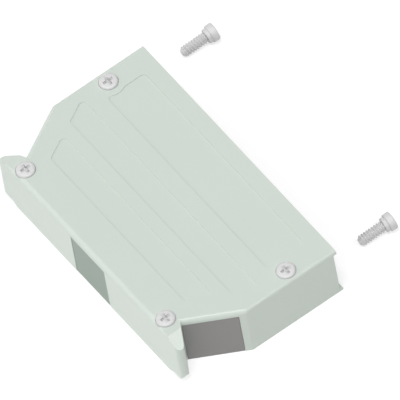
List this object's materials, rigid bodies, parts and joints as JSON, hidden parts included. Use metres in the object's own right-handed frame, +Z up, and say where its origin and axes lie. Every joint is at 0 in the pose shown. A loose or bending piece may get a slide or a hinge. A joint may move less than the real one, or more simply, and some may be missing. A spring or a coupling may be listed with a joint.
{
  "type": "d-sub connector hood",
  "caption": "Deep plastic hood for a 37-way D-sub connector: screwed shell and base, slanted flanks, closed cable entries, an inner cable clamp, and its loose fixing screws.",
  "frame": {"origin": "middle of the hood's underside, on the surface it lies on", "axes": "+X along the connector's length, +Y from the back wall towards the connector side, +Z up from the underside to the roof"},
  "size_m": [0.0719, 0.0583, 0.0147],
  "materials": {
    "shell_plastic": "smooth satin, pale grey-green",
    "back_filler_plastic": "satin grey-green, darker than the shell",
    "filler_plastic": "satin mid grey",
    "plated_steel": "pale satin plating, fine turned surface",
    "nut_brass": "turned, bare"
  },
  "bodies": {
    "root": {"upper_shell": "shell_plastic", "base_plate": "shell_plastic", "back_filler": "back_filler_plastic", "flank_filler_left": "filler_plastic", "flank_filler_right": "filler_plastic", "cover_screw_front_left": "plated_steel", "cover_screw_front_right": "plated_steel", "cover_screw_rear_left": "plated_steel", "cover_screw_rear_right": "plated_steel", "nut_block_left": "nut_brass", "nut_block_right": "nut_brass", "fixing_screw_left": "plated_steel", "fixing_screw_right": "plated_steel", "clamp_strap": "plated_steel", "clamp_screw_left": "plated_steel", "clamp_screw_right": "plated_steel"}
  },
  "joints": []
}
